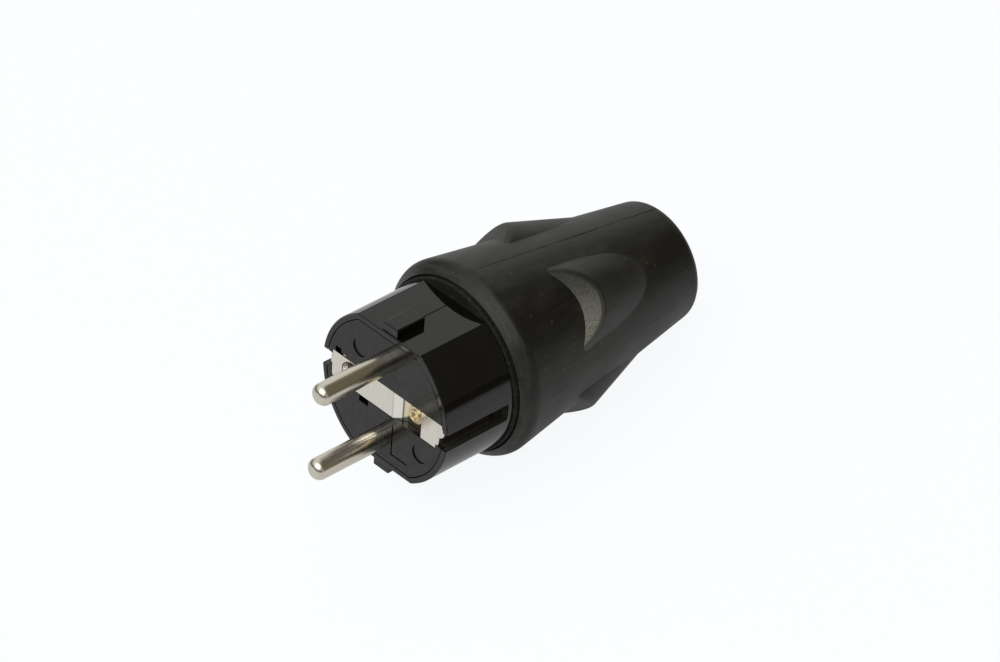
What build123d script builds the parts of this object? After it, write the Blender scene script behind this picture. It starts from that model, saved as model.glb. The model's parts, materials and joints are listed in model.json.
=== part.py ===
from build123d import *
import os
from math import atan, cos, degrees, radians, tan

# A round two-pin earthed plug with a rubber body, in millimetres.
# It is modelled along Y: the face between the pins is at y = 0, the pins point to -Y, the cord leaves at +Y
# and the pins stand one above the other. Last, it is laid down on the rubber cone, with its pins raised.

# Pins and their terminals
pin_diameter = 4.8
pin_length = 19.0
pin_spacing = 19.0
pin_tip_rounding = 1.8
pin_undercut_diameter = 4.5
pin_root_place = 0.5
pin_root_diameter = 5.4
pin_seat_depth = 4.0
terminal_diameter = 7.6
terminal_rear = 25.0
terminal_chamfer = 0.5
wire_hole_diameter = 3.6
wire_hole_depth = 13.0
terminal_screw_place = 20.5

# Screws
terminal_screw_diameter = 3.4
terminal_head_diameter = 5.2
terminal_head_height = 1.5
terminal_spot_depth = 0.3
body_screw_diameter = 3.0
body_head_diameter = 5.2
body_head_height = 1.7
screw_slot_width = 0.8
screw_slot_depth = 0.8
screw_clearance = 0.05

# Sleeve that enters the socket
shell_diameter = 37.4
shell_across_flats = 32.7
shell_flat_draft = 0.2
shell_wall = 1.25
shell_edge_rounding = 0.25
engagement_length = 18.3
flange_diameter = 38.5
flange_length = 5.6
flange_edge = 0.2
groove_diameter = 33.8
groove_length = 3.1
bead_diameter = 35.6
bead_length = 4.0
bead_chamfer = 0.6
shell_bore_diameter = 30.4
guide_rib_width = 4.3
guide_rib_height = 2.0
guide_rib_length = 7.5
guide_rib_setback = 0.35
guide_rib_rounding = 0.3
earth_slot_width = 4.15
earth_slot_length = 17.0
earth_slot_offset = 0.3

# Contact carrier
carrier_length = 15.5
carrier_seam = 0.15
carrier_edge_rounding = 0.2
carrier_fit = 0.05
carrier_screw_x = 9.2
carrier_screw_z = 8.0
carrier_screw_grip = 7.5
screw_pad_diameter = 6.8
screw_pad_length = 3.0
screw_pad_link = 1.25

# Marks in the face
pocket_depth = 3.0
upper_pocket = (-14.15, 3.9, 1.7, 1.8)
lower_pocket = (-5.9, -4.0, 2.7, 1.4)
ejector_mark_diameter = 4.2
ejector_mark_depth = 0.3
ejector_mark_places = ((-7.9, 8.3), (11.1, -7.5))
line_mark_width = 0.4
line_mark_depth = 0.25
line_mark_x = 3.0
line_mark_top = -5.3
line_mark_foot = -12.4
line_mark_end = 7.7

# Earth strip, its socket, rivet and terminal
strip_thickness = 0.8
strip_width = 6.4
strip_sink = 0.1
strip_left_reach = 16.6
strip_right_reach = 16.1
strip_bend = 0.6
strip_corner = 0.7
strip_clearance = 0.1
leg_width = 2.4
leg_length = 14.6
leg_end_chamfer = 0.3
tab_reach = 16.9
tab_top = 3.2
joggle_start = 2.7
joggle_bend = 4.6
joggle_bend_depth = 0.9
joggle_foot = 5.6
joggle_depth = 1.6
joggle_rise = 10.5
joggle_end = 11.0
socket_offset = 10.0
socket_clearance = 0.03
socket_wall = 0.5
socket_length = 12.0
socket_slit = 0.8
socket_slit_start = 4.5
socket_mouth_sink = 0.2
socket_mouth_depth = 1.0
socket_mouth_edge = 0.1
socket_flange_thickness = 0.5
socket_flange_length = 7.0
socket_flange_top = 3.85
rivet_place = 8.0
rivet_head_diameter = 4.2
rivet_head_height = 0.45
rivet_lip_diameter = 2.8
rivet_lip_height = 0.85
rivet_lip_rounding = 0.2
rivet_dimple_diameter = 1.6
rivet_dimple_depth = 0.75
rivet_shank_diameter = 3.0
rivet_length = 9.0
web_rear = 5.0
earth_block_width = 6.0
earth_block_height = 6.0

# Cord clamp at the rear of the sleeve
clamp_front = 38.0
clamp_length = 9.0
clamp_half_width = 11.6
clamp_floor = -8.0
clamp_top = -1.5
clamp_groove_diameter = 10.4
clamp_screw_x = 9.2
clamp_screw_length = 7.0
clamp_arm_width = 3.6
clamp_arm_overlap = 4.0
saddle_length = 6.0
saddle_ear = 2.2
saddle_arch_wall = 1.8
saddle_arch_diameter = 9.2

# Rubber housing
rim_place = 19.2
rim_clearance = 0.05
collar_diameter = 44.0
collar_chamfer = 2.4
collar_ridge = 22.0
collar_rounding = 2.5
rim_rounding = 0.5
rim_chamfer = 0.45
body_rear = 78.0
rear_diameter = 26.9
rear_rounding = 2.4
inner_front_diameter = 33.0
inner_rear = 60.0
inner_rear_diameter = 25.0
inlet_diameter = 10.5
inlet_length = 10.0
inlet_chamfer = 0.8
grip_count = 4
grip_first_angle = 45.8
grip_ramp_foot = 40.65
grip_ramp_angle = 26.6
grip_crest_radius = 21.7
grip_crest_place = 44.0
grip_slope = 18.0
grip_radius = 10.2
grip_edge_rounding = 1.7
grip_length = 30.0

# Values that follow from the ones above
pin_radius = pin_diameter / 2
pin_undercut_radius = pin_undercut_diameter / 2
pin_root_radius = pin_root_diameter / 2
pin_places = {"line_pin": pin_spacing / 2, "neutral_pin": -pin_spacing / 2}
terminal_radius = terminal_diameter / 2
terminal_flat = terminal_radius - terminal_spot_depth
shell_radius = shell_diameter / 2
shell_flat = shell_across_flats / 2
shell_inner_radius = shell_radius - shell_wall
shell_inner_flat = shell_flat - shell_wall
shell_slot_floor = shell_inner_radius - shell_wall
flange_rear = engagement_length + flange_length
groove_rear = flange_rear + groove_length
shell_rear = groove_rear + bead_length
carrier_radius = shell_inner_radius - carrier_seam
carrier_flat = shell_inner_flat - carrier_seam
strip_rear = strip_sink + strip_thickness
joggle_rear = strip_rear + joggle_depth
strip_reach = {1: strip_right_reach, -1: strip_left_reach}
leg_inner = {side: reach - strip_thickness for side, reach in strip_reach.items()}
plate_middle = (leg_inner[1] - leg_inner[-1]) / 2
plate_length = leg_inner[1] + leg_inner[-1]
leg_offset = earth_slot_offset + (earth_slot_width - leg_width) / 2 - strip_clearance
socket_bore_radius = pin_radius + socket_clearance
socket_radius = socket_bore_radius + socket_wall
socket_hole_radius = socket_radius + strip_clearance
socket_mouth = strip_sink + socket_mouth_sink
socket_front = strip_rear + socket_flange_thickness
pad_rear = carrier_length + screw_pad_length
earth_block_face = rivet_place + earth_block_width / 2
clamp_rear = clamp_front + clamp_length
clamp_middle = clamp_front + clamp_length / 2
saddle_ear_top = clamp_top + saddle_ear
collar_radius = collar_diameter / 2
rear_radius = rear_diameter / 2
rest_tilt = degrees(atan((collar_radius - rear_radius) / (body_rear - collar_ridge)))

plug_axis = Axis.Y
rear_way = (0, 1, 0)


def prism(sketch, front, rear):
    # A sketch drawn in X and Z, carried along the plug from front to rear
    return extrude(Plane.XZ.offset(-front) * sketch, amount=rear - front, dir=rear_way)


def turned(profile):
    # A face drawn with the radius along X and the place along Y, turned about the plug's axis
    return revolve(profile, plug_axis)


def outline(*points):
    return make_face(Polyline(*points, close=True))


def corner(sketch, x, y):
    return sketch.vertices().sort_by_distance((x, y, 0))[0]


def disc(radius, x=0.0, z=0.0):
    return Pos(x, z) * Circle(radius)


def rod(radius, front, rear, x=0.0, z=0.0):
    return prism(disc(radius, x, z), front, rear)


def flatted_disc(radius, flat):
    return Circle(radius) & Rectangle(2 * radius, 2 * flat)


def drafted_disc(radius, flat, draft):
    # Round with two flats, each falling off to both sides of the mould's parting plane
    side = flat - radius * tan(radians(draft))
    upper = ((radius, side), (0, flat), (-radius, side))
    lower = ((-radius, -side), (0, -flat), (radius, -side))
    return Circle(radius) & outline(*upper, *lower)


def screw(shank, head, height, length):
    # Slotted screw along Z, with the seat of its head at z = 0 and its tip below
    seat = (Align.CENTER, Align.CENTER, Align.MIN)
    below = (Align.CENTER, Align.CENTER, Align.MAX)
    body = Cylinder(head / 2, height, align=seat) + Cylinder(shank / 2, length, align=below)
    groove = Pos(0, 0, height) * Box(head, screw_slot_width, 2 * screw_slot_depth)
    return body - groove


def terminal_screw(seat):
    # Its tip ends at the middle of the wire hole, that far below the seat of its head
    return screw(terminal_screw_diameter, terminal_head_diameter, terminal_head_height, seat)


def pin(side):
    # Turned pin with its terminal, on the plug's axis, with its screw flat to the given side.
    # A wider root behind an undercut stops it in the carrier.
    profile = outline(
        (0, -pin_length),
        (pin_radius, -pin_length),
        (pin_radius, 0),
        (pin_undercut_radius, 0),
        (pin_undercut_radius, pin_root_place),
        (pin_root_radius, pin_root_place),
        (pin_root_radius, pin_seat_depth),
        (terminal_radius, pin_seat_depth),
        (terminal_radius, terminal_rear),
        (0, terminal_rear),
    )
    profile = fillet(corner(profile, pin_radius, -pin_length), pin_tip_rounding)
    profile = chamfer(corner(profile, terminal_radius, terminal_rear), terminal_chamfer)
    body = turned(profile)
    body -= rod(wire_hole_diameter / 2, terminal_rear - wire_hole_depth, terminal_rear)
    spot = Box(terminal_diameter, terminal_head_diameter + 2 * terminal_spot_depth, terminal_diameter)
    body -= Pos(0, terminal_screw_place, side * (terminal_flat + terminal_radius)) * spot
    hole = Cylinder(terminal_screw_diameter / 2 + screw_clearance, terminal_radius)
    return body - Pos(0, terminal_screw_place, side * terminal_radius / 2) * hole


def slot_sketch(side, start):
    # One earth slot, from a given depth out past the sleeve
    length = shell_radius
    return Pos(side * (start + length / 2), -side * earth_slot_offset) * Rectangle(length, earth_slot_width)


def guide_rib(side):
    height = guide_rib_height + shell_wall / 2
    place = side * (shell_flat + guide_rib_height - height / 2)
    rib = prism(
        Pos(0, place) * Rectangle(guide_rib_width, height),
        guide_rib_setback,
        guide_rib_setback + guide_rib_length,
    )
    outer = rib.faces().sort_by(Axis.Z)[-1 if side > 0 else 0]
    return fillet(outer.edges(), guide_rib_rounding)


def screw_pad(side):
    # Pad inside the sleeve that a carrier screw pulls against
    x, z = -side * carrier_screw_x, side * carrier_screw_z
    link = Pos(screw_pad_link * x, screw_pad_link * z) * Rectangle(screw_pad_diameter, screw_pad_diameter)
    sketch = (disc(screw_pad_diameter / 2, x, z) + link) & Circle(shell_bore_diameter / 2 + shell_wall / 2)
    pad = prism(sketch, carrier_length, pad_rear)
    return pad - rod(body_screw_diameter / 2 + screw_clearance, carrier_length, pad_rear, x, z)


def clamp_arm(side):
    # Arm from the sleeve's rear to the clamp, rooted in the sleeve's wall
    height = clamp_top - clamp_floor
    middle = (clamp_top + clamp_floor) / 2
    inner = clamp_half_width - clamp_arm_width
    arm = Pos(side * (clamp_half_width - clamp_arm_width / 2), middle) * Rectangle(clamp_arm_width, height)
    root_width = shell_bore_diameter / 2 + shell_wall - inner
    root = Pos(side * (inner + root_width / 2), middle) * Rectangle(root_width, height)
    root &= Circle(shell_bore_diameter / 2 + shell_wall / 2)
    return prism(arm, shell_rear - clamp_arm_overlap, clamp_front) + prism(
        root, shell_rear - clamp_arm_overlap, shell_rear
    )


def clamp_bed():
    height = clamp_top - clamp_floor
    bed = prism(
        Pos(0, (clamp_top + clamp_floor) / 2) * Rectangle(2 * clamp_half_width, height),
        clamp_front,
        clamp_rear,
    )
    bed -= rod(clamp_groove_diameter / 2, clamp_front, clamp_rear)
    pilot = Cylinder(body_screw_diameter / 2 + screw_clearance, clamp_screw_length)
    depth = clamp_top - clamp_screw_length / 2
    for side in (-1, 1):
        bed -= Pos(side * clamp_screw_x, clamp_middle, depth) * pilot
    return bed


def insert_shell():
    front = prism(drafted_disc(shell_radius, shell_flat, shell_flat_draft), 0, engagement_length)
    front = fillet(front.faces().sort_by(plug_axis)[0].edges(), shell_edge_rounding)
    profile = outline(
        (0, engagement_length),
        (flange_diameter / 2 - flange_edge, engagement_length),
        (flange_diameter / 2, engagement_length + flange_edge),
        (flange_diameter / 2, flange_rear),
        (groove_diameter / 2, flange_rear),
        (groove_diameter / 2, groove_rear),
        (bead_diameter / 2, groove_rear),
        (bead_diameter / 2, shell_rear - bead_chamfer),
        (bead_diameter / 2 - bead_chamfer, shell_rear),
        (0, shell_rear),
    )
    body = front + turned(profile)
    for side in (-1, 1):
        body += guide_rib(side)
    body -= prism(flatted_disc(shell_inner_radius, shell_inner_flat), 0, carrier_length)
    body -= rod(shell_bore_diameter / 2, carrier_length, shell_rear)
    for side in (-1, 1):
        body -= prism(slot_sketch(side, shell_slot_floor), 0, earth_slot_length)
        body += screw_pad(side)
        body += clamp_arm(side)
    return body + clamp_bed()


def strip_flat():
    # The strip's plate across the face, with its joggle, seen from above
    front, rear = strip_sink, strip_rear
    lag = strip_thickness / 2
    return outline(
        (-leg_inner[-1], front),
        (joggle_start, front),
        (joggle_bend, front + joggle_bend_depth),
        (joggle_foot, front + joggle_depth),
        (joggle_rise, front + joggle_depth),
        (joggle_end, front),
        (tab_reach, front),
        (tab_reach, rear),
        (joggle_end + lag, rear),
        (joggle_rise + lag, joggle_rear),
        (joggle_foot - lag, joggle_rear),
        (joggle_bend - lag, rear + joggle_bend_depth),
        (joggle_start - lag, rear),
        (-leg_inner[-1], rear),
    )


def strip_leg(side):
    # A leg bent back along the side of the carrier
    outer, inner = strip_reach[side], leg_inner[side]
    profile = outline(
        (inner - strip_thickness, strip_sink),
        (outer, strip_sink),
        (outer, leg_length - leg_end_chamfer),
        (outer - leg_end_chamfer, leg_length),
        (inner, leg_length),
        (inner, strip_rear),
        (inner - strip_thickness, strip_rear),
    )
    profile = fillet(corner(profile, outer, strip_sink), strip_bend)
    leg = extrude(profile, leg_width / 2, both=True)
    if side < 0:
        leg = leg.mirror(Plane.YZ)
    return Pos(0, 0, -side * leg_offset) * leg


def strip_tab(reach, gap):
    # The tab beside the right leg, out to a given reach
    foot = leg_width / 2 - leg_offset
    height = tab_top - foot + 2 * gap
    return Pos(leg_inner[1], (tab_top + foot) / 2) * Rectangle(2 * (reach - leg_inner[1]), height)


def strip_outline(gap):
    # The plate as the face shows it, grown by a gap
    half = strip_width / 2 + gap
    plate = Rectangle(plate_length + 2 * gap, 2 * half)
    legless = [place for place in plate.vertices() if place.X * place.Y > 0]
    plate = fillet(legless, strip_corner)
    return Pos(plate_middle, 0) * plate + strip_tab(tab_reach, gap)


def earth_strip():
    half = strip_width / 2
    plate = extrude(strip_flat(), half, both=True) & prism(strip_outline(0), 0, joggle_rear)
    strip = plate + strip_leg(1) + strip_leg(-1)
    strip -= rod(socket_hole_radius, 0, strip_rear, -socket_offset)
    return strip - rod(rivet_shank_diameter / 2 + screw_clearance, 0, joggle_rear, rivet_place)


def socket_flange(gap):
    bottom = -strip_width / 2
    height = socket_flange_top - bottom + 2 * gap
    place = Pos(-socket_offset, (socket_flange_top + bottom) / 2)
    return place * Rectangle(socket_flange_length + 2 * gap, height)


def earth_socket():
    # Its flared mouth stands in the strip's hole
    rear = socket_front + socket_length
    body = prism(socket_flange(0), strip_rear, socket_front)
    body += rod(socket_radius, socket_mouth, rear, -socket_offset)
    bore = outline(
        (0, socket_mouth),
        (socket_radius - socket_mouth_edge, socket_mouth),
        (socket_bore_radius, socket_mouth + socket_mouth_depth),
        (socket_bore_radius, rear),
        (0, rear),
    )
    body -= Pos(-socket_offset, 0, 0) * turned(bore)
    slit = Pos(-socket_offset - socket_radius, 0) * Rectangle(2 * socket_radius, socket_slit)
    return body - prism(slit, socket_slit_start, rear)


def earth_rivet():
    # Flat head with a rolled lip round a dimple
    seat = strip_sink + joggle_depth
    lip = seat - rivet_lip_height
    profile = outline(
        (0, lip + rivet_dimple_depth),
        (rivet_dimple_diameter / 2, lip + rivet_dimple_depth),
        (rivet_dimple_diameter / 2, lip),
        (rivet_lip_diameter / 2, lip),
        (rivet_lip_diameter / 2, seat - rivet_head_height),
        (rivet_head_diameter / 2, seat - rivet_head_height),
        (rivet_head_diameter / 2, seat),
        (rivet_shank_diameter / 2, seat),
        (rivet_shank_diameter / 2, rivet_length),
        (0, rivet_length),
    )
    lips = [
        corner(profile, rivet_dimple_diameter / 2, lip),
        corner(profile, rivet_lip_diameter / 2, lip),
        corner(profile, rivet_head_diameter / 2, seat - rivet_head_height),
    ]
    return Pos(rivet_place, 0, 0) * turned(fillet(lips, rivet_lip_rounding))


def earth_terminal():
    sketch = Pos(rivet_place, 0) * Rectangle(earth_block_width, earth_block_height)
    block = prism(sketch, web_rear, terminal_rear)
    block -= rod(rivet_shank_diameter / 2 + screw_clearance, web_rear, rivet_length, rivet_place)
    block -= rod(wire_hole_diameter / 2, terminal_rear - wire_hole_depth, terminal_rear, rivet_place)
    hole = Cylinder(terminal_screw_diameter / 2 + screw_clearance, earth_block_width / 2)
    side = Pos(rivet_place + earth_block_width / 4, terminal_screw_place, 0) * Rot(0, 90, 0)
    return block - side * hole


def face_marks():
    # Sunk ejector discs and a fine angled line pressed into the face
    discs = [disc(ejector_mark_diameter / 2, x, z) for x, z in ejector_mark_places]
    upright = Pos(line_mark_x, (line_mark_top + line_mark_foot) / 2)
    along = Pos((line_mark_x + line_mark_end) / 2, line_mark_foot)
    line = upright * Rectangle(line_mark_width, line_mark_top - line_mark_foot + line_mark_width)
    line += along * Rectangle(line_mark_end - line_mark_x, line_mark_width)
    marks = prism(line, 0, line_mark_depth)
    for mark in discs:
        marks += prism(mark, 0, ejector_mark_depth)
    return marks


def contact_carrier():
    block = prism(flatted_disc(carrier_radius, carrier_flat), 0, carrier_length)
    block = fillet(block.faces().sort_by(plug_axis)[0].edges(), carrier_edge_rounding)
    for place in pin_places.values():
        block -= rod(pin_radius + carrier_fit, 0, pin_root_place, 0, place)
        block -= rod(pin_root_radius + carrier_fit, pin_root_place, pin_seat_depth, 0, place)
        block -= rod(terminal_radius + carrier_fit, pin_seat_depth, carrier_length, 0, place)
    block -= prism(strip_outline(strip_clearance) + strip_tab(shell_radius, strip_clearance), 0, strip_rear)
    joggle_middle = (joggle_start + joggle_end) / 2
    joggle_span = joggle_end - joggle_start + strip_thickness + 2 * strip_clearance
    joggle = Pos(joggle_middle, 0) * Rectangle(joggle_span, strip_width + 2 * strip_clearance)
    block -= prism(joggle, 0, joggle_rear)
    block -= prism(socket_flange(strip_clearance), 0, socket_front)
    for side in (-1, 1):
        block -= prism(slot_sketch(side, leg_inner[side] - strip_clearance), 0, carrier_length)
        x, z = -side * carrier_screw_x, side * carrier_screw_z
        radius = body_screw_diameter / 2 + screw_clearance
        block -= rod(radius, carrier_length - carrier_screw_grip - screw_clearance, carrier_length, x, z)
    block -= rod(socket_radius + carrier_fit, 0, socket_front + socket_length, -socket_offset)
    block -= rod(rivet_shank_diameter / 2 + screw_clearance, 0, web_rear, rivet_place)
    chamber = Rectangle(earth_block_width + 2 * carrier_fit, earth_block_height + 2 * carrier_fit)
    block -= prism(Pos(rivet_place, 0) * chamber, web_rear, carrier_length)
    for x, z, width, height in (upper_pocket, lower_pocket):
        block -= prism(Pos(x, z) * Rectangle(width, height), 0, pocket_depth)
    return block - face_marks()


def cord_clamp_saddle():
    ears = Pos(0, clamp_top + saddle_ear / 2) * Rectangle(2 * clamp_half_width, saddle_ear)
    arch = Circle(saddle_arch_diameter / 2 + saddle_arch_wall)
    upper = Pos(0, clamp_half_width + clamp_top) * Rectangle(2 * clamp_half_width, 2 * clamp_half_width)
    sketch = (ears + (arch & upper)) - Circle(saddle_arch_diameter / 2)
    saddle = prism(sketch, clamp_middle - saddle_length / 2, clamp_middle + saddle_length / 2)
    hole = Cylinder(body_screw_diameter / 2 + screw_clearance, 2 * saddle_ear)
    for side in (-1, 1):
        saddle -= Pos(side * clamp_screw_x, clamp_middle, clamp_top + saddle_ear / 2) * hole
    return saddle


def grip():
    # One thumb grip: a round ridge that sinks towards the rear, cut off by a slanted front with a soft edge
    crest_centre = grip_crest_radius - grip_radius / cos(radians(grip_slope))
    lean = Pos(0, grip_crest_place, crest_centre) * Rot(-grip_slope, 0, 0)
    ends = (Align.CENTER, Align.CENTER, Align.CENTER)
    ridge = lean * Rot(-90, 0, 0) * Cylinder(grip_radius, 2 * grip_length, align=ends)
    foot = collar_radius - (grip_ramp_foot - collar_ridge) * tan(radians(rest_tilt))
    reach = 2 * collar_radius
    behind = (Align.CENTER, Align.MIN, Align.CENTER)
    keep = Box(reach, grip_length, 2 * reach, align=behind)
    ridge &= Pos(0, grip_ramp_foot, foot) * Rot(grip_ramp_angle - 90, 0, 0) * keep
    slanted = ridge.faces().filter_by(GeomType.PLANE).sort_by(plug_axis)[0]
    return fillet(slanted.edges(), grip_edge_rounding)


def rubber_housing():
    rim_radius = flange_diameter / 2 + rim_clearance
    rim_edge = collar_radius - collar_chamfer
    profile = outline(
        (0, rim_place),
        (rim_edge, rim_place),
        (collar_radius, collar_ridge),
        (rear_radius, body_rear),
        (0, body_rear),
    )
    profile = fillet(corner(profile, collar_radius, collar_ridge), collar_rounding)
    profile = fillet(corner(profile, rim_edge, rim_place), rim_rounding)
    profile = fillet(corner(profile, rear_radius, body_rear), rear_rounding)
    body = turned(profile)
    for number in range(grip_count):
        body += Rot(0, grip_first_angle + number * 360 / grip_count, 0) * grip()
    inlet_front = body_rear - inlet_length
    cavity = outline(
        (0, rim_place),
        (rim_radius + rim_chamfer, rim_place),
        (rim_radius, rim_place + rim_chamfer),
        (rim_radius, flange_rear),
        (groove_diameter / 2 + rim_clearance, flange_rear),
        (groove_diameter / 2 + rim_clearance, groove_rear),
        (bead_diameter / 2 + rim_clearance, groove_rear),
        (bead_diameter / 2 + rim_clearance, shell_rear),
        (inner_front_diameter / 2, shell_rear),
        (inner_rear_diameter / 2, inner_rear),
        (inlet_diameter / 2, inlet_front),
        (inlet_diameter / 2, body_rear - inlet_chamfer),
        (inlet_diameter / 2 + inlet_chamfer, body_rear),
        (0, body_rear),
    )
    return body - turned(cavity)


def place_terminal_screws():
    places = {}
    for name, z in pin_places.items():
        side = 1 if z > 0 else -1
        stand = Pos(0, terminal_screw_place, z + side * terminal_flat)
        turn = Rot(0, 0, 0) if side > 0 else Rot(180, 0, 0)
        places[name.replace("pin", "terminal_screw")] = stand * turn * terminal_screw(terminal_flat)
    side_stand = Pos(earth_block_face, terminal_screw_place, 0) * Rot(0, 90, 0)
    places["earth_terminal_screw"] = side_stand * terminal_screw(earth_block_width / 2)
    return places


def place_body_screws():
    places = {}
    length = screw_pad_length + carrier_screw_grip
    carrier_screw = screw(body_screw_diameter, body_head_diameter, body_head_height, length)
    for name, side in (("carrier_screw_upper", 1), ("carrier_screw_lower", -1)):
        stand = Pos(-side * carrier_screw_x, pad_rear, side * carrier_screw_z)
        places[name] = stand * Rot(-90, 0, 0) * carrier_screw
    clamp_screw = screw(body_screw_diameter, body_head_diameter, body_head_height, clamp_screw_length)
    for name, side in (("cord_clamp_screw_left", -1), ("cord_clamp_screw_right", 1)):
        places[name] = Pos(side * clamp_screw_x, clamp_middle, saddle_ear_top) * clamp_screw
    return places


pieces = {
    "rubber_housing": rubber_housing(),
    "insert_shell": insert_shell(),
    "contact_carrier": contact_carrier(),
    "earth_strip": earth_strip(),
    "earth_socket": earth_socket(),
    "earth_rivet": earth_rivet(),
    "earth_terminal": earth_terminal(),
    "cord_clamp_saddle": cord_clamp_saddle(),
}
for name, z in pin_places.items():
    pieces[name] = Pos(0, 0, z) * pin(1 if z > 0 else -1)
pieces.update(place_terminal_screws())
pieces.update(place_body_screws())

# The plug lies on the line of its rubber cone, which raises the pins
rest_pose = Rot(-rest_tilt, 0, 0)
os.makedirs("parts", exist_ok=True)
for name, piece in pieces.items():
    export_step(rest_pose * piece, f"parts/{name}.step")
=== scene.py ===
import bpy
import json
import math
from mathutils import Matrix, Vector


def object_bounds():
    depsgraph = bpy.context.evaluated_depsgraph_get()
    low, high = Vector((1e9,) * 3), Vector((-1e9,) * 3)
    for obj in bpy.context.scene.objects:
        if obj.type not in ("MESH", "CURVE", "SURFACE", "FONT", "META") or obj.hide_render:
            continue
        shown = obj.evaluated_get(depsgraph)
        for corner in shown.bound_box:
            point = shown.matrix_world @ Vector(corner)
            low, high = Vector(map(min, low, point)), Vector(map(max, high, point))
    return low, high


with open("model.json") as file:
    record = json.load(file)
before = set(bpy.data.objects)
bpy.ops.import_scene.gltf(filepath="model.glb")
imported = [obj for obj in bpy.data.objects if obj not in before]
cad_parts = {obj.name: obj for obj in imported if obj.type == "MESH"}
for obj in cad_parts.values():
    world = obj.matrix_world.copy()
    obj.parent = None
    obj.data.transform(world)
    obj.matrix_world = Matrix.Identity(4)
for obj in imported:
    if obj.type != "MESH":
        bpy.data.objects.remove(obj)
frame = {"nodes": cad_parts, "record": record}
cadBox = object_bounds()
mm = 0.001
print("frame loaded:", len(frame["nodes"]), "nodes")

# The plug lies on its rubber cone, so its own axis is tipped by this much about X
restTilt = math.radians(8.6808)


def linearColour(hexText):
    # sRGB hex to linear
    channels = [int(hexText[i:i + 2], 16) / 255 for i in (1, 3, 5)]
    linear = [c / 12.92 if c <= 0.04045 else ((c + 0.055) / 1.055) ** 2.4 for c in channels]
    return (*linear, 1.0)


def addNode(tree, kind, settings=None, links=None, values=None):
    # One node: its settings, its fixed input values, and what feeds its inputs
    node = tree.nodes.new(kind)
    for key, value in (settings or {}).items():
        setattr(node, key, value)
    for key, value in (values or {}).items():
        node.inputs[key].default_value = value
    for key, source in (links or {}).items():
        tree.links.new(source, node.inputs[key])
    return node


def startMaterial(name):
    # Empty material with its surface shader, and the plug's own axes in millimetres
    material = bpy.data.materials.new(name)
    material.use_nodes = True
    tree = material.node_tree
    tree.nodes.clear()
    shader = addNode(tree, "ShaderNodeBsdfPrincipled")
    addNode(tree, "ShaderNodeOutputMaterial", links={"Surface": shader.outputs["BSDF"]})
    coords = addNode(tree, "ShaderNodeTexCoord")
    upright = addNode(tree, "ShaderNodeVectorRotate", {"rotation_type": "X_AXIS"},
                      {"Vector": coords.outputs["Object"]}, {"Angle": restTilt})
    scaled = addNode(tree, "ShaderNodeVectorMath", {"operation": "SCALE"},
                     {0: upright.outputs["Vector"]}, {"Scale": 1 / mm})
    return material, tree, shader, scaled.outputs["Vector"]


# Sizes on the plug are in millimetres, along its own axes: X to the right, Y to the cord, Z up.
# A reach is where in its noise a mark sets in, and where it is full. A shine is the shader's specular level.
dustCore = 0.6  # solid share of a speck, inside its soft edge
lineCore = 0.5  # the same for a fine line

# Vulcanised rubber, moulded in a spark-eroded tool: dull warm black with a faint bloom, fine grain and stuck dust.
# The grain is drawn about four times coarser than real, and the dust a little larger, so that they show.
rubberLook = {
    "black": "#10100d", "bloom": "#262620", "bloomPatch": 11.0, "streak": (2.2, 13.0, 2.2), "smearReach": (0.2, 0.36),
    "roughness": (0.4, 0.54), "roughReach": (0.3, 0.7), "shine": 0.42, "ior": 1.5, "grain": 0.45, "grainHeight": 0.015,
    # Front of the collar
    "rub": "#2e2e29", "rubArc": (7.0, 1.1), "rubReach": (0.46, 0.66), "collarRadius": 21.0, "rubEnd": 23.5,
    "rubFade": 2.5,
    # Slanted fronts of the grips, and their rounded edges. A slant is how far the surface faces the cord, from 1 to -1
    "rampGrey": "#84837b", "rampPit": "#605f58", "rampGrain": 0.35, "rampReach": (0.35, 0.62), "rampStart": 30.0,
    "rampSlant": (-0.3, -0.42), "edgeGrey": "#4a4a44", "edgeSlant": (0.12, -0.05),
    # On the upper right grip the front is painted pale, partly as wear and partly as a painted highlight, with painted
    # shade towards its top
    "paintedShadeTop": 18.2, "paintedShadeFade": 8.8, "paintedShadeTopShare": 0.16, "paleFoot": 6.0, "paleHalf": 2.0, "paleLeftShare": 0.12,
    # Dust
    "dust": "#8f8d86", "dustSpacing": 2.3, "dustSize": 0.13, "dustLeftOut": 0.45,
    # Mould parting line
    "lineDark": "#050505", "lineShine": 0.1, "lineWidth": 0.2, "lineStart": 23.5, "lineFade": 3.0, "lineDepth": 0.08,
    "lineReach": (0.62, 0.42), "lineLeast": 0.25,
}


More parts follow.
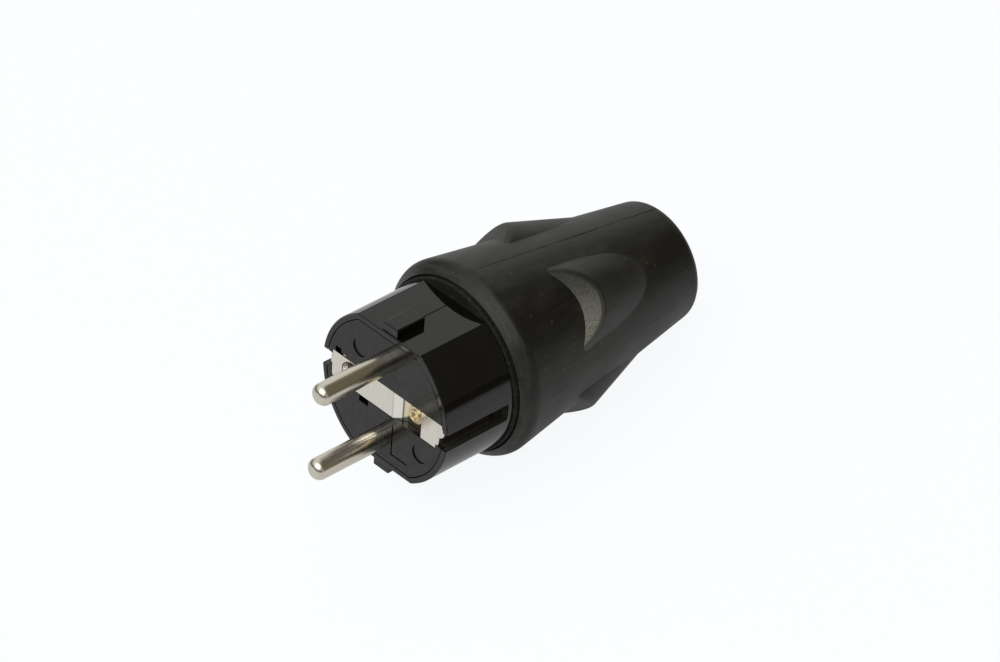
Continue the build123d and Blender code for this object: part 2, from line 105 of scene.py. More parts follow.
def mouldedRubber(look):
    material, tree, shader, place = startMaterial("mouldedRubber")
    axes = addNode(tree, "ShaderNodeSeparateXYZ", links={"Vector": place})
    bloom = addNode(tree, "ShaderNodeTexNoise", links={"Vector": place},
                    values={"Scale": 1 / look["bloomPatch"], "Detail": 5.0, "Roughness": 0.6})
    streakPlace = addNode(tree, "ShaderNodeVectorMath", {"operation": "DIVIDE"}, {0: place}, {1: look["streak"]})
    streak = addNode(tree, "ShaderNodeTexNoise", links={"Vector": streakPlace.outputs["Vector"]},
                     values={"Scale": 1.0, "Detail": 4.0, "Roughness": 0.6, "Distortion": 0.4})
    smear = addNode(tree, "ShaderNodeMath", {"operation": "MULTIPLY"},
                    {0: bloom.outputs["Fac"], 1: streak.outputs["Fac"]})
    bloomMask = addNode(tree, "ShaderNodeMapRange", links={"Value": smear.outputs["Value"]},
                        values={"From Min": look["smearReach"][0], "From Max": look["smearReach"][1]})
    body = addNode(tree, "ShaderNodeMix", {"data_type": "RGBA"}, {"Factor": bloomMask.outputs["Result"]},
                   {"A": linearColour(look["black"]), "B": linearColour(look["bloom"])})

    # The collar's front is rubbed paler, in arcs round it
    turn = addNode(tree, "ShaderNodeMath", {"operation": "ARCTAN2"}, {0: axes.outputs["X"], 1: axes.outputs["Z"]})
    around = addNode(tree, "ShaderNodeMath", {"operation": "MULTIPLY"}, {0: turn.outputs["Value"]},
                     {1: look["collarRadius"] / look["rubArc"][0]})
    along = addNode(tree, "ShaderNodeMath", {"operation": "DIVIDE"}, {0: axes.outputs["Y"]}, {1: look["rubArc"][1]})
    arcPlace = addNode(tree, "ShaderNodeCombineXYZ",
                       links={"X": around.outputs["Value"], "Y": along.outputs["Value"]})
    rubNoise = addNode(tree, "ShaderNodeTexNoise", links={"Vector": arcPlace.outputs["Vector"]},
                       values={"Scale": 1.0, "Detail": 5.0, "Roughness": 0.65, "Distortion": 0.5})
    rubPatch = addNode(tree, "ShaderNodeMapRange", links={"Value": rubNoise.outputs["Fac"]},
                       values={"From Min": look["rubReach"][0], "From Max": look["rubReach"][1]})
    rubBand = addNode(tree, "ShaderNodeMapRange", {"interpolation_type": "SMOOTHSTEP"}, {"Value": axes.outputs["Y"]},
                      {"From Min": look["rubEnd"], "From Max": look["rubEnd"] - look["rubFade"]})
    rub = addNode(tree, "ShaderNodeMath", {"operation": "MULTIPLY"},
                  {0: rubPatch.outputs["Result"], 1: rubBand.outputs["Result"]})
    rubbed = addNode(tree, "ShaderNodeMix", {"data_type": "RGBA"},
                     {"Factor": rub.outputs["Value"], "A": body.outputs["Result"]}, {"B": linearColour(look["rub"])})

    # The grips' slanted fronts face the pins. The tool left them coarser, and their pale grey is partly a paler finish
    # and partly a painted highlight from the lamp in front
    normal = addNode(tree, "ShaderNodeNewGeometry")
    normalUp = addNode(tree, "ShaderNodeVectorRotate", {"rotation_type": "X_AXIS"},
                       {"Vector": normal.outputs["Normal"]}, {"Angle": restTilt})
    slant = addNode(tree, "ShaderNodeSeparateXYZ", links={"Vector": normalUp.outputs["Vector"]}).outputs["Y"]
    rampNoise = addNode(tree, "ShaderNodeTexNoise", links={"Vector": place},
                        values={"Scale": 1 / look["rampGrain"], "Detail": 3.0})
    rampSpread = addNode(tree, "ShaderNodeMapRange", links={"Value": rampNoise.outputs["Fac"]},
                         values={"From Min": look["rampReach"][0], "From Max": look["rampReach"][1]})
    rampColour = addNode(tree, "ShaderNodeMix", {"data_type": "RGBA"}, {"Factor": rampSpread.outputs["Result"]},
                         {"A": linearColour(look["rampPit"]), "B": linearColour(look["rampGrey"])})
    # The upper right grip's front is painted pale, partly as wear and partly as a painted highlight, with painted
    # shade towards its top, so it is palest towards its foot
    paintedShadeTop = addNode(tree, "ShaderNodeMapRange", {"interpolation_type": "SMOOTHSTEP"}, {"Value": axes.outputs["Z"]},
                      {"From Min": look["paintedShadeTop"], "From Max": look["paintedShadeTop"] - look["paintedShadeFade"],
                       "To Min": look["paintedShadeTopShare"]})
    paleFoot = addNode(tree, "ShaderNodeMapRange", {"interpolation_type": "SMOOTHSTEP"}, {"Value": axes.outputs["Z"]},
                       {"From Min": 0.0, "From Max": look["paleFoot"]})
    paleRight = addNode(tree, "ShaderNodeMapRange", links={"Value": axes.outputs["X"]},
                        values={"From Min": -look["paleHalf"], "From Max": look["paleHalf"],
                                "To Min": look["paleLeftShare"]})
    wearAndHighlight = paintedShadeTop.outputs["Result"]
    for mask in (paleFoot, paleRight):
        wearAndHighlight = addNode(tree, "ShaderNodeMath", {"operation": "MULTIPLY"},
                       {0: wearAndHighlight, 1: mask.outputs["Result"]}).outputs["Value"]
    rampWearAndHighlight = addNode(tree, "ShaderNodeMix", {"data_type": "RGBA"},
                       {"Factor": wearAndHighlight, "A": rubbed.outputs["Result"], "B": rampColour.outputs["Result"]})
    # Its rounded edge is painted paler too, partly as rubbing and partly as a painted highlight
    behind = addNode(tree, "ShaderNodeMath", {"operation": "GREATER_THAN"}, {0: axes.outputs["Y"]},
                     {1: look["rampStart"]})
    edge = addNode(tree, "ShaderNodeMapRange", links={"Value": slant},
                   values={"From Min": look["edgeSlant"][0], "From Max": look["edgeSlant"][1]}).outputs["Result"]
    for mask in (behind.outputs["Value"], wearAndHighlight):
        edge = addNode(tree, "ShaderNodeMath", {"operation": "MULTIPLY"}, {0: edge, 1: mask}).outputs["Value"]
    withEdge = addNode(tree, "ShaderNodeMix", {"data_type": "RGBA"}, {"Factor": edge, "A": rubbed.outputs["Result"]},
                       {"B": linearColour(look["edgeGrey"])})
    facing = addNode(tree, "ShaderNodeMapRange", links={"Value": slant},
                     values={"From Min": look["rampSlant"][0], "From Max": look["rampSlant"][1]})
    ramp = addNode(tree, "ShaderNodeMath", {"operation": "MULTIPLY"},
                   {0: facing.outputs["Result"], 1: behind.outputs["Value"]})
    withRamp = addNode(tree, "ShaderNodeMix", {"data_type": "RGBA"},
                       {"Factor": ramp.outputs["Value"], "A": withEdge.outputs["Result"],
                        "B": rampWearAndHighlight.outputs["Result"]})

    # Dust, in some of the pattern's cells
    dust = addNode(tree, "ShaderNodeTexVoronoi", links={"Vector": place}, values={"Scale": 1 / look["dustSpacing"]})
    dustReach = look["dustSize"] / look["dustSpacing"]
    dustMask = addNode(tree, "ShaderNodeMapRange", links={"Value": dust.outputs["Distance"]},
                       values={"From Min": dustReach, "From Max": dustCore * dustReach})
    dustCell = addNode(tree, "ShaderNodeSeparateColor", links={"Color": dust.outputs["Color"]})
    dustPick = addNode(tree, "ShaderNodeMath", {"operation": "GREATER_THAN"}, {0: dustCell.outputs["Red"]},
                       {1: look["dustLeftOut"]})
    dustFactor = addNode(tree, "ShaderNodeMath", {"operation": "MULTIPLY"},
                         {0: dustMask.outputs["Result"], 1: dustPick.outputs["Value"]})
    withDust = addNode(tree, "ShaderNodeMix", {"data_type": "RGBA"},
                       {"Factor": dustFactor.outputs["Value"], "A": withRamp.outputs["Result"]},
                       {"B": linearColour(look["dust"])})

    # Mould parting line along the top and the bottom, behind the collar, rubbed away in places
    side = addNode(tree, "ShaderNodeMath", {"operation": "ABSOLUTE"}, {0: axes.outputs["X"]})
    middle = addNode(tree, "ShaderNodeMapRange", links={"Value": side.outputs["Value"]},
                     values={"From Min": look["lineWidth"], "From Max": lineCore * look["lineWidth"]})
    fromCollar = addNode(tree, "ShaderNodeMapRange", links={"Value": axes.outputs["Y"]},
                         values={"From Min": look["lineStart"], "From Max": look["lineStart"] + look["lineFade"]})
    kept = addNode(tree, "ShaderNodeMapRange", links={"Value": streak.outputs["Fac"]},
                   values={"From Min": look["lineReach"][0], "From Max": look["lineReach"][1],
                           "To Min": look["lineLeast"]})
    parting = middle.outputs["Result"]
    for mask in (fromCollar, kept):
        parting = addNode(tree, "ShaderNodeMath", {"operation": "MULTIPLY"},
                          {0: parting, 1: mask.outputs["Result"]}).outputs["Value"]
    withLine = addNode(tree, "ShaderNodeMix", {"data_type": "RGBA"},
                       {"Factor": parting, "A": withDust.outputs["Result"]}, {"B": linearColour(look["lineDark"])})
    # Its groove is too fine to shine
    shine = addNode(tree, "ShaderNodeMapRange", links={"Value": parting},
                    values={"To Min": look["shine"], "To Max": look["lineShine"]})

    rough = addNode(tree, "ShaderNodeMapRange", links={"Value": bloom.outputs["Fac"]},
                    values={"From Min": look["roughReach"][0], "From Max": look["roughReach"][1],
                            "To Min": look["roughness"][0], "To Max": look["roughness"][1]})
    grain = addNode(tree, "ShaderNodeTexNoise", links={"Vector": place},
                    values={"Scale": 1 / look["grain"], "Detail": 4.0})
    grainBump = addNode(tree, "ShaderNodeBump", links={"Height": grain.outputs["Fac"]},
                        values={"Strength": 1.0, "Distance": look["grainHeight"] * mm})
    lineBump = addNode(tree, "ShaderNodeBump", {"invert": True},
                       {"Height": parting, "Normal": grainBump.outputs["Normal"]},
                       {"Strength": 1.0, "Distance": look["lineDepth"] * mm})
    tree.links.new(withLine.outputs["Result"], shader.inputs["Base Color"])
    tree.links.new(rough.outputs["Result"], shader.inputs["Roughness"])
    tree.links.new(shine.outputs["Result"], shader.inputs["Specular IOR Level"])
    tree.links.new(lineBump.outputs["Normal"], shader.inputs["Normal"])
    shader.inputs["IOR"].default_value = look["ior"]
    return material


# Polished thermoset, pressed in a chromed tool: deep black mirror with a faint ripple, smears and a little dust.
# The sleeve's flange is dull with dust from the rubber, and a hairline seam runs along the middle of its flats.
# The dust specks are drawn a little larger than real, so that they show.
plasticLook = {
    "sleeve": {
        "colour": "#0a0a09", "film": "#11110f", "filmPatch": 6.0, "roughness": (0.05, 0.11), "shine": (0.5, 0.48),
        "ior": 1.5, "ripple": 9.0, "rippleHeight": 0.012, "grain": 0.6, "grainHeight": 0.0003,
        "dust": "#6d6c67", "dustSpacing": 3.0, "dustSize": 0.12,
        "slotDustAndLight": "#35342f", "slotHalf": 2.6, "slotFloor": 14.0, "slotRim": 18.4, "slotStart": 0.4,
        "flangeDust": "#21211e", "flangeRough": 0.5, "flangeShine": 0.1, "flangeStart": 18.2, "flangeFade": 0.1,
        "scuff": "#35342e", "scuffSize": (2.6, 2.6, 1.3), "scuffReach": (0.52, 0.64),
        "seamShine": 0.02, "seamWidth": 0.2, "seamStart": 7.9, "seamFlat": 15.5,
    },
    "carrier": {
        "colour": "#060605", "film": "#161613", "filmPatch": 2.5, "roughness": (0.14, 0.26), "shine": (0.5, 0.38),
        "ior": 1.5, "ripple": 4.0, "rippleHeight": 0.01, "grain": 0.7, "grainHeight": 0.003,
        "dust": "#6d6c67", "dustSpacing": 1.9, "dustSize": 0.12,
        "slotDustAndLight": "#343330", "slotHalf": 2.6, "slotFloor": 14.0, "slotRim": 17.2, "slotStart": 1.0,
    },
}
# The film of smears has a reach for each thing that it changes
filmReach = {"colour": (0.42, 0.7), "roughness": (0.35, 0.72), "shine": (0.4, 0.62)}


def pressedThermoset(name, look):
    material, tree, shader, place = startMaterial(name)
    axes = addNode(tree, "ShaderNodeSeparateXYZ", links={"Vector": place})
    film = addNode(tree, "ShaderNodeTexNoise", links={"Vector": place},
                   values={"Scale": 1 / look["filmPatch"], "Detail": 6.0, "Roughness": 0.65, "Distortion": 0.6})
    level = {}
    for key, ends in (("colour", (0.0, 1.0)), ("roughness", look["roughness"]), ("shine", look["shine"])):
        level[key] = addNode(tree, "ShaderNodeMapRange", links={"Value": film.outputs["Fac"]},
                             values={"From Min": filmReach[key][0], "From Max": filmReach[key][1],
                                     "To Min": ends[0], "To Max": ends[1]}).outputs["Result"]
    rough, shine = level["roughness"], level["shine"]
    colour = addNode(tree, "ShaderNodeMix", {"data_type": "RGBA"}, {"Factor": level["colour"]},
                     {"A": linearColour(look["colour"]), "B": linearColour(look["film"])}).outputs["Result"]

    # The walls of the earth slots are painted paler, partly as dust and partly as painted light that the slots lack
    aside = addNode(tree, "ShaderNodeMath", {"operation": "ABSOLUTE"}, {0: axes.outputs["X"]}).outputs["Value"]
    inSlot = addNode(tree, "ShaderNodeMath", {"operation": "COMPARE"}, {0: axes.outputs["Z"]},
                     {1: 0.0, 2: look["slotHalf"]}).outputs["Value"]
    for value, side, limit in ((aside, "GREATER_THAN", look["slotFloor"]), (aside, "LESS_THAN", look["slotRim"]),
                               (axes.outputs["Y"], "GREATER_THAN", look["slotStart"])):
        within = addNode(tree, "ShaderNodeMath", {"operation": side}, {0: value}, {1: limit})
        inSlot = addNode(tree, "ShaderNodeMath", {"operation": "MULTIPLY"},
                         {0: inSlot, 1: within.outputs["Value"]}).outputs["Value"]
    tints = [(inSlot, look["slotDustAndLight"])]

    if "flangeStart" in look:
        flange = addNode(tree, "ShaderNodeMapRange", links={"Value": axes.outputs["Y"]},
                         values={"From Min": look["flangeStart"],
                                 "From Max": look["flangeStart"] + look["flangeFade"]}).outputs["Result"]
        scuffPlace = addNode(tree, "ShaderNodeVectorMath", {"operation": "DIVIDE"}, {0: place},
                             {1: look["scuffSize"]})
        scuff = addNode(tree, "ShaderNodeTexNoise", links={"Vector": scuffPlace.outputs["Vector"]},
                        values={"Scale": 1.0, "Detail": 6.0, "Roughness": 0.7, "Distortion": 1.2})
        scuffMask = addNode(tree, "ShaderNodeMapRange", links={"Value": scuff.outputs["Fac"]},
                            values={"From Min": look["scuffReach"][0], "From Max": look["scuffReach"][1]})
        scuffed = addNode(tree, "ShaderNodeMath", {"operation": "MULTIPLY"},
                          {0: scuffMask.outputs["Result"], 1: flange}).outputs["Value"]
        tints += [(flange, look["flangeDust"]), (scuffed, look["scuff"])]
        rough = addNode(tree, "ShaderNodeMix", {"data_type": "FLOAT"}, {"Factor": flange, "A": rough},
                        {"B": look["flangeRough"]}).outputs["Result"]
        # Seam, which is too fine to shine
        aloft = addNode(tree, "ShaderNodeMath", {"operation": "ABSOLUTE"}, {0: axes.outputs["Z"]})
        seam = addNode(tree, "ShaderNodeMapRange", links={"Value": aside},
                       values={"From Min": look["seamWidth"],
                               "From Max": lineCore * look["seamWidth"]}).outputs["Result"]
        for value, limit in ((aloft.outputs["Value"], look["seamFlat"]), (axes.outputs["Y"], look["seamStart"])):
            beyond = addNode(tree, "ShaderNodeMath", {"operation": "GREATER_THAN"}, {0: value}, {1: limit})
            seam = addNode(tree, "ShaderNodeMath", {"operation": "MULTIPLY"},
                           {0: seam, 1: beyond.outputs["Value"]}).outputs["Value"]
        seam = addNode(tree, "ShaderNodeMath", {"operation": "SUBTRACT", "use_clamp": True},
                       {0: seam, 1: flange}).outputs["Value"]
        for mask, dull in ((flange, look["flangeShine"]), (seam, look["seamShine"])):
            shine = addNode(tree, "ShaderNodeMix", {"data_type": "FLOAT"}, {"Factor": mask, "A": shine},
                            {"B": dull}).outputs["Result"]

    dust = addNode(tree, "ShaderNodeTexVoronoi", links={"Vector": place}, values={"Scale": 1 / look["dustSpacing"]})
    dustReach = look["dustSize"] / look["dustSpacing"]
    dustMask = addNode(tree, "ShaderNodeMapRange", links={"Value": dust.outputs["Distance"]},
                       values={"From Min": dustReach, "From Max": dustCore * dustReach})
    tints.append((dustMask.outputs["Result"], look["dust"]))
    for mask, tint in tints:
        colour = addNode(tree, "ShaderNodeMix", {"data_type": "RGBA"}, {"Factor": mask, "A": colour},
                         {"B": linearColour(tint)}).outputs["Result"]
    ripple = addNode(tree, "ShaderNodeTexNoise", links={"Vector": place},
                     values={"Scale": 1 / look["ripple"], "Detail": 1.0})
    rippleBump = addNode(tree, "ShaderNodeBump", links={"Height": ripple.outputs["Fac"]},
                         values={"Strength": 1.0, "Distance": look["rippleHeight"] * mm})
    grain = addNode(tree, "ShaderNodeTexNoise", links={"Vector": place},
                    values={"Scale": 1 / look["grain"], "Detail": 3.0})
    grainBump = addNode(tree, "ShaderNodeBump",
                        links={"Height": grain.outputs["Fac"], "Normal": rippleBump.outputs["Normal"]},
                        values={"Strength": 1.0, "Distance": look["grainHeight"] * mm})
    tree.links.new(colour, shader.inputs["Base Color"])
    tree.links.new(rough, shader.inputs["Roughness"])
    tree.links.new(shine, shader.inputs["Specular IOR Level"])
    tree.links.new(grainBump.outputs["Normal"], shader.inputs["Normal"])
    shader.inputs["IOR"].default_value = look["ior"]
    return material


# Plated and bare metals, all with fine streaks or stains. Stretch is the size of a streak along X, Y and Z, drawn
# coarser than real so that it shows. A zone is coloured where all its ramps, each along one axis, reach their ends.
metalLook = {
    # Bright nickel on turned and polished pins: warm grey, softly mirroring, streaked along the pin
    "nickelPlatedPin": {
        "colour": "#dfdace", "stain": "#d3ccba", "roughness": (0.22, 0.28), "stretch": (0.7, 9.0, 0.7),
        "height": 0.0003, "zones": ()},
    # The same nickel on rolled strip: paler and more of a mirror
    "nickelPlatedStrip": {
        "colour": "#ebe6dd", "stain": "#e4dfd5", "roughness": (0.13, 0.2), "stretch": (0.7, 4.0, 7.0),
        "height": 0.0004, "zones": (
            # The first bend of the joggle carries a painted highlight, with a painted shade line just before it and a
            # painted shadow in the corner after it
            {"colour": "#f7f4ec", "ramps": (("X", 2.5, 2.8), ("X", 4.7, 4.5))},
            {"colour": "#d2ccc1", "ramps": (("X", 2.35, 2.45), ("X", 2.75, 2.65))},
            {"colour": "#8a8271", "ramps": (("X", 4.5, 4.6), ("X", 4.95, 4.8))},
            # Brass shows through the thin plate in the joggle
            {"colour": "#ebe1c2", "ramps": (("Y", 0.95, 1.15), ("X", 4.8, 5.0), ("X", 11.5, 11.2))},
            # The leg in the right slot is painted darker, a painted shade inside the slot
            {"colour": "#b0a99d", "ramps": (("Y", 0.8, 1.4), ("X", 15.5, 15.7))},
        )},
    # Bare pressed brass, dulled by air: pale yellow with browner patches
    "tarnishedBrass": {
        "colour": "#e6dabb", "stain": "#c4b284", "roughness": (0.22, 0.34), "stretch": (0.8, 0.8, 0.8),
        "height": 0.002, "zones": ()},
    # Rolled spring bronze: brown and fairly dull
    "springBronze": {
        "colour": "#ae9676", "stain": "#806a4c", "roughness": (0.34, 0.44), "stretch": (0.8, 3.0, 0.8),
        "height": 0.002, "zones": (
            # Its flange is plated like the strip
            {"colour": "#ece7de", "ramps": (("Z", 3.0, 3.1),)},
            # The lower side of its mouth is painted bright, a painted reflection of the light above
            {"colour": "#fffdf8", "ramps": (("Z", 1.3, -0.2),)},
        )},
    # Zinc on steel screws: cool grey, half dull
    "zincPlatedSteel": {
        "colour": "#b9bcc0", "stain": "#8f9297", "roughness": (0.25, 0.4), "stretch": (0.8, 0.8, 0.8),
        "height": 0.002, "zones": ()},
}
# The streaks have a reach for each thing that they change
streakReach = {"colour": (0.45, 0.75), "roughness": (0.35, 0.7)}


def platedMetal(name):
    look = metalLook[name]
    material, tree, shader, place = startMaterial(name)
    axes = addNode(tree, "ShaderNodeSeparateXYZ", links={"Vector": place})
    streakPlace = addNode(tree, "ShaderNodeVectorMath", {"operation": "DIVIDE"}, {0: place}, {1: look["stretch"]})
    streak = addNode(tree, "ShaderNodeTexNoise", links={"Vector": streakPlace.outputs["Vector"]},
                     values={"Scale": 1.0, "Detail": 4.0, "Roughness": 0.6})
    level = {}
    for key, ends in (("colour", (0.0, 1.0)), ("roughness", look["roughness"])):
        level[key] = addNode(tree, "ShaderNodeMapRange", links={"Value": streak.outputs["Fac"]},
                             values={"From Min": streakReach[key][0], "From Max": streakReach[key][1],
                                     "To Min": ends[0], "To Max": ends[1]}).outputs["Result"]
    colour = addNode(tree, "ShaderNodeMix", {"data_type": "RGBA"}, {"Factor": level["colour"]},
                     {"A": linearColour(look["colour"]), "B": linearColour(look["stain"])}).outputs["Result"]
    for zone in look["zones"]:
        inside = None
        for axis, outer, inner in zone["ramps"]:
            edge = addNode(tree, "ShaderNodeMapRange", links={"Value": axes.outputs[axis]},
                           values={"From Min": outer, "From Max": inner}).outputs["Result"]
            inside = edge if inside is None else addNode(
                tree, "ShaderNodeMath", {"operation": "MULTIPLY"}, {0: inside, 1: edge}).outputs["Value"]
        colour = addNode(tree, "ShaderNodeMix", {"data_type": "RGBA"}, {"Factor": inside, "A": colour},
                         {"B": linearColour(zone["colour"])}).outputs["Result"]
    bump = addNode(tree, "ShaderNodeBump", links={"Height": streak.outputs["Fac"]},
                   values={"Strength": 1.0, "Distance": look["height"] * mm})
    tree.links.new(colour, shader.inputs["Base Color"])
    tree.links.new(level["roughness"], shader.inputs["Roughness"])
    tree.links.new(bump.outputs["Normal"], shader.inputs["Normal"])
    shader.inputs["Metallic"].default_value = 1.0
    return material


# Moulded nylon of the hidden cord clamp: dull black, slightly mottled
clampLook = {"colour": "#1a1a1a", "pale": "#242424", "roughness": (0.42, 0.55), "mottle": 2.5}


def mouldedNylon(look):
    material, tree, shader, place = startMaterial("mouldedNylon")
    mottle = addNode(tree, "ShaderNodeTexNoise", links={"Vector": place},
                     values={"Scale": 1 / look["mottle"], "Detail": 4.0})
    colour = addNode(tree, "ShaderNodeMix", {"data_type": "RGBA"}, {"Factor": mottle.outputs["Fac"]},
                     {"A": linearColour(look["colour"]), "B": linearColour(look["pale"])})
    rough = addNode(tree, "ShaderNodeMapRange", links={"Value": mottle.outputs["Fac"]},
                    values={"To Min": look["roughness"][0], "To Max": look["roughness"][1]})
    tree.links.new(colour.outputs["Result"], shader.inputs["Base Color"])
    tree.links.new(rough.outputs["Result"], shader.inputs["Roughness"])
    return material


# One finish for each material slot in the record
finishes = {
    "rubber": mouldedRubber(rubberLook),
    "sleeve_plastic": pressedThermoset("pressedThermosetSleeve", plasticLook["sleeve"]),
    "carrier_plastic": pressedThermoset("pressedThermosetCarrier", plasticLook["carrier"]),
    "nickel_pin": platedMetal("nickelPlatedPin"),
    "nickel_strip": platedMetal("nickelPlatedStrip"),
    "bronze": platedMetal("springBronze"),
    "brass": platedMetal("tarnishedBrass"),
    "zinc_screw": platedMetal("zincPlatedSteel"),
    "clamp_plastic": mouldedNylon(clampLook),
}
slotOfNode = {part["node"]: part["material_slot"] for part in frame["record"]["subparts"]}
for name, node in frame["nodes"].items():
    node.data.materials.clear()
    node.data.materials.append(finishes[slotOfNode[name]])
print("finishes:", len(finishes))

# Plain pale table, in metres. Glow is the share of plain white that the camera sees in it, and mirrorGlow the share
# that reflections see, each at its own level. The rest takes light and shadow. Behind the right, the camera still sees
# it pale, but reflections find it dim, a painted shade on the table.
tableLook = {
    "size": 3.0, "colour": "#f8f9fa", "white": "#fbfdff", "glow": 0.9, "level": 1.045, "mirrorGlow": 0.6,
    "mirrorLevel": 0.71, "dim": "#5d564a", "dimWay": (0.75, 0.66, 0.0), "dimFrom": 0.13, "dimTo": 0.24,
}


def buildTable(look):
    half = look["size"] / 2
    top = cadBox[0][2]
    mesh = bpy.data.meshes.new("table")
    corners = [(-half, -half, top), (half, -half, top), (half, half, top), (-half, half, top)]
    mesh.from_pydata(corners, [], [(0, 1, 2, 3)])
    table = bpy.data.objects.new("table", mesh)
    bpy.context.scene.collection.objects.link(table)
    material = bpy.data.materials.new("matteTableTop")
    material.use_nodes = True
    tree = material.node_tree
    tree.nodes.clear()
    coords = addNode(tree, "ShaderNodeTexCoord")
    toDim = addNode(tree, "ShaderNodeVectorMath", {"operation": "DOT_PRODUCT"}, {0: coords.outputs["Object"]},
                    {1: look["dimWay"]})
    dim = addNode(tree, "ShaderNodeMapRange", {"interpolation_type": "SMOOTHSTEP"}, {"Value": toDim.outputs["Value"]},
                  {"From Min": look["dimFrom"], "From Max": look["dimTo"]})
    path = addNode(tree, "ShaderNodeLightPath")
    unseenDim = addNode(tree, "ShaderNodeMath", {"operation": "SUBTRACT", "use_clamp": True},
                        {0: dim.outputs["Result"], 1: path.outputs["Is Camera Ray"]})
    colour = addNode(tree, "ShaderNodeMix", {"data_type": "RGBA"}, {"Factor": unseenDim.outputs["Value"]},
                     {"A": linearColour(look["colour"]), "B": linearColour(look["dim"])})
    paper = addNode(tree, "ShaderNodeBsdfDiffuse", links={"Color": colour.outputs["Result"]})
    bright = addNode(tree, "ShaderNodeMix", {"data_type": "RGBA"}, {"Factor": unseenDim.outputs["Value"]},
                     {"A": linearColour(look["white"]), "B": linearColour(look["dim"])})
    level = addNode(tree, "ShaderNodeMapRange", links={"Value": path.outputs["Is Camera Ray"]},
                    values={"To Min": look["mirrorLevel"], "To Max": look["level"]})
    white = addNode(tree, "ShaderNodeEmission",
                    links={"Color": bright.outputs["Result"], "Strength": level.outputs["Result"]})
    mirrored = addNode(tree, "ShaderNodeMath", {"operation": "MULTIPLY"}, {0: path.outputs["Is Glossy Ray"]},
                       {1: look["mirrorGlow"]})
    seen = addNode(tree, "ShaderNodeMath", {"operation": "MULTIPLY_ADD"},
                   {0: path.outputs["Is Camera Ray"], 2: mirrored.outputs["Value"]}, {1: look["glow"]})
    blend = addNode(tree, "ShaderNodeMixShader",
                    links={0: seen.outputs["Value"], 1: paper.outputs["BSDF"], 2: white.outputs["Emission"]})
    addNode(tree, "ShaderNodeOutputMaterial", links={"Surface": blend.outputs["Shader"]})
    mesh.materials.append(material)


buildTable(tableLook)
print("table:", tableLook["size"], "m")

# White room with a dim brown side behind the right, a greyer front, and a dark low band past the table's front and
# left. A side sets in towards its way, between two cosines, and the band fades out between two heights.
roomLook = {
    "white": "#fbfbf5", "level": 0.78, "seen": "#fbfdff", "seenLevel": 1.0,
    "sides": (
        {"colour": "#7b7463", "way": (0.564, 0.664, 0.49), "from": 0.48, "to": 0.74},
        {"colour": "#9c988f", "way": (0.5, -0.86, 0.0), "from": 0.45, "to": 0.85},
        {"colour": "#484236", "way": (-0.42, -0.91, 0.0), "from": 0.0, "to": 0.22, "height": (0.26, 0.42)},
    ),
}


def buildRoom(look):
    world = bpy.data.worlds.new("whiteRoom")
    world.use_nodes = True
    tree = world.node_tree
    tree.nodes.clear()
    coords = addNode(tree, "ShaderNodeTexCoord")
    axes = addNode(tree, "ShaderNodeSeparateXYZ", links={"Vector": coords.outputs["Generated"]})
    room = addNode(tree, "ShaderNodeBackground", values={"Strength": look["level"]})
    colour = None
    for side in look["sides"]:
        toSide = addNode(tree, "ShaderNodeVectorMath", {"operation": "DOT_PRODUCT"}, {0: coords.outputs["Generated"]},
                         {1: Vector(side["way"]).normalized()})
        share = addNode(tree, "ShaderNodeMapRange", {"interpolation_type": "SMOOTHSTEP"},
                        {"Value": toSide.outputs["Value"]},
                        {"From Min": side["from"], "From Max": side["to"]}).outputs["Result"]
        if "height" in side:
            under = addNode(tree, "ShaderNodeMapRange", {"interpolation_type": "SMOOTHSTEP"},
                            {"Value": axes.outputs["Z"]},
                            {"From Min": side["height"][1], "From Max": side["height"][0]})
            share = addNode(tree, "ShaderNodeMath", {"operation": "MULTIPLY"},
                            {0: share, 1: under.outputs["Result"]}).outputs["Value"]
        mix = addNode(tree, "ShaderNodeMix", {"data_type": "RGBA"}, {"Factor": share},
                      {"A": linearColour(look["white"]), "B": linearColour(side["colour"])})
        if colour is not None:
            tree.links.new(colour, mix.inputs["A"])
        colour = mix.outputs["Result"]
    tree.links.new(colour, room.inputs["Color"])
    white = addNode(tree, "ShaderNodeBackground",
                    values={"Color": linearColour(look["seen"]), "Strength": look["seenLevel"]})
    path = addNode(tree, "ShaderNodeLightPath")
    seen = addNode(tree, "ShaderNodeMixShader",
                   links={0: path.outputs["Is Camera Ray"], 1: room.outputs["Background"],
                          2: white.outputs["Background"]})
    addNode(tree, "ShaderNodeOutputWorld", links={"Surface": seen.outputs["Shader"]})
    bpy.context.scene.world = world


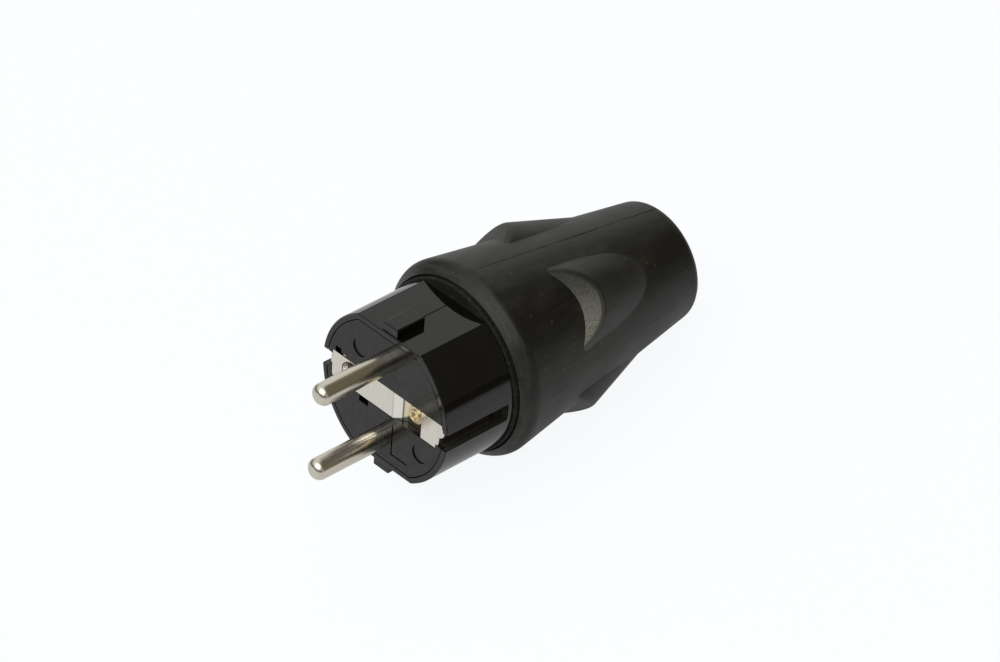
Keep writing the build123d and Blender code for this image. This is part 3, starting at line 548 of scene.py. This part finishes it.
buildRoom(roomLook)
print("room sides:", len(roomLook["sides"]))

# One large soft lamp, in front of the plug and above it, in metres
lampLook = {
    "softboxFront": {"place": (0.16, -0.69, 0.83), "aim": (0, 0.02, 0), "size": 1.2, "watts": 6.1},
}
for lampName, lamp in lampLook.items():
    light = bpy.data.lights.new(lampName, "AREA")
    light.shape = "SQUARE"
    light.size = lamp["size"]
    light.energy = lamp["watts"]
    holder = bpy.data.objects.new(lampName, light)
    holder.location = lamp["place"]
    aim = Vector(lamp["aim"]) - holder.location
    holder.rotation_euler = aim.to_track_quat("-Z", "Y").to_euler()
    bpy.context.scene.collection.objects.link(holder)
print("lamps:", len(lampLook))

# Camera fitted to the photograph, round the middle of the face, in degrees and millimetres in the plug's own axes
viewLook = {
    "azimuth": 43.665, "elevation": 36.722, "roll": 4.837, "distance": 1013.132, "shift": (23.477, 13.772),
    "focal": 180.0, "sensor": 36.0, "nearest": 50.0,
}


def placeCamera(look):
    azimuth, elevation, roll = (math.radians(look[k]) for k in ("azimuth", "elevation", "roll"))
    flat = math.cos(elevation)
    back = Vector((math.sin(azimuth) * flat, -math.cos(azimuth) * flat, math.sin(elevation)))
    level = Vector((math.cos(azimuth), math.sin(azimuth), 0))
    above = back.cross(level)
    right = math.cos(roll) * level + math.sin(roll) * above
    up = -math.sin(roll) * level + math.cos(roll) * above
    place = back * look["distance"] + right * look["shift"][0] + up * look["shift"][1]
    turn = Matrix((right, up, back)).transposed()
    lying = Matrix.Rotation(-restTilt, 3, "X")
    camera = bpy.data.cameras.new("photoView")
    camera.lens = look["focal"]
    camera.sensor_width = look["sensor"]
    camera.clip_start = look["nearest"] * mm
    holder = bpy.data.objects.new("photoView", camera)
    holder.matrix_world = Matrix.Translation(lying @ place * mm) @ (lying @ turn).to_4x4()
    bpy.context.scene.collection.objects.link(holder)
    bpy.context.scene.camera = holder


placeCamera(viewLook)
print("camera:", viewLook["focal"], "mm lens")
bpy.context.scene.view_settings.view_transform = "Standard"
print("scene ready")
